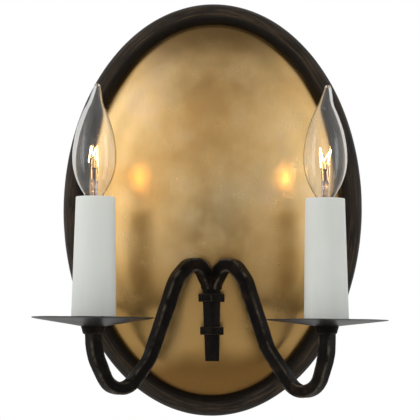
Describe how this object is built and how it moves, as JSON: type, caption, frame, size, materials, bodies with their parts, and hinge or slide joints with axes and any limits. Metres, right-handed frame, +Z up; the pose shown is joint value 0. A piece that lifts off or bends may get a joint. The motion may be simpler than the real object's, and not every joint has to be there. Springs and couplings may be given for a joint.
{
  "type": "double arm wall sconce",
  "caption": "Oval wall sconce with a domed brass plate in a forged iron rim and two S-shaped square-bar arms carrying candle-style electric lights.",
  "frame": {"origin": "centre of the box-screw pattern, on the wall plane at the middle of the oval", "axes": "+Z up along the oval's long axis, -Y out of the wall towards the room, +X to the viewer's right"},
  "size_m": [0.2606, 0.141, 0.3164],
  "materials": {
    "aged_iron": "waxed forged iron with worn edges",
    "antique_brass": "aged and mottled",
    "zinc_steel": "zinc plated",
    "candle_white": "matt",
    "clear_glass": "clear",
    "cap_brass": "plain",
    "black_phenolic": "moulded",
    "insulator_glass": "gloss",
    "tungsten": "drawn wire",
    "green_screw": "green lacquer"
  },
  "bodies": {
    "root": {"rim": "aged_iron", "rim_band": "aged_iron", "brass_plate": "antique_brass", "plate_clips": "zinc_steel", "wall_strap": "zinc_steel", "ground_screw": "green_screw", "rim_set_screws": "aged_iron", "spine_bar": "zinc_steel", "stem": "aged_iron", "upper_collar": "aged_iron", "lower_collar": "aged_iron", "stem_nipple": "zinc_steel", "spacer": "aged_iron", "inner_spacer": "zinc_steel", "lock_washer": "zinc_steel", "stem_nut": "cap_brass", "left_arm": "aged_iron", "left_cup": "aged_iron", "left_pan": "aged_iron", "left_sleeve_seat": "zinc_steel", "left_arm_nipple": "zinc_steel", "left_lock_nut": "cap_brass", "left_socket_bracket": "zinc_steel", "left_socket_body": "black_phenolic", "left_socket_shell": "cap_brass", "left_centre_contact": "cap_brass", "right_arm": "aged_iron", "right_cup": "aged_iron", "right_pan": "aged_iron", "right_sleeve_seat": "zinc_steel", "right_arm_nipple": "zinc_steel", "right_lock_nut": "cap_brass", "right_socket_bracket": "zinc_steel", "right_socket_body": "black_phenolic", "right_socket_shell": "cap_brass", "right_centre_contact": "cap_brass"},
    "left_sleeve": {"left_candle_sleeve": "candle_white"},
    "left_bulb_tip": {"left_tip_contact": "zinc_steel"},
    "left_bulb": {"left_bulb_cap": "cap_brass", "left_cap_insulator": "insulator_glass", "left_bulb_glass": "clear_glass", "left_glass_mount": "clear_glass", "left_filament": "tungsten", "left_support_wires": "tungsten"},
    "right_sleeve": {"right_candle_sleeve": "candle_white"},
    "right_bulb_tip": {"right_tip_contact": "zinc_steel"},
    "right_bulb": {"right_bulb_cap": "cap_brass", "right_cap_insulator": "insulator_glass", "right_bulb_glass": "clear_glass", "right_glass_mount": "clear_glass", "right_filament": "tungsten", "right_support_wires": "tungsten"}
  },
  "joints": [
    {"name": "left_sleeve_lift", "type": "slide", "parent": "root", "child": "left_sleeve", "axis": [0, 0, 1], "range_m": [0, 0.008]},
    {"name": "left_bulb_travel", "type": "slide", "parent": "root", "child": "left_bulb_tip", "axis": [0, 0, 1], "range_m": [0, 0.01144]},
    {"name": "left_bulb_turn", "type": "hinge", "parent": "left_bulb_tip", "child": "left_bulb", "pos_m": [-0.0853, -0.09596, 0], "axis": [0, 0, 1], "range_deg": [0, 1620]},
    {"name": "right_sleeve_lift", "type": "slide", "parent": "root", "child": "right_sleeve", "axis": [0, 0, 1], "range_m": [0, 0.008]},
    {"name": "right_bulb_travel", "type": "slide", "parent": "root", "child": "right_bulb_tip", "axis": [0, 0, 1], "range_m": [0, 0.01144]},
    {"name": "right_bulb_turn", "type": "hinge", "parent": "right_bulb_tip", "child": "right_bulb", "pos_m": [0.0853, -0.09596, 0], "axis": [0, 0, 1], "range_deg": [0, 1620]}
  ],
  "couplings": [
    {"joint": "left_bulb_travel", "follows": "left_bulb_turn", "m_per_rad": 0.00040425},
    {"joint": "right_bulb_travel", "follows": "right_bulb_turn", "m_per_rad": 0.00040425}
  ]
}
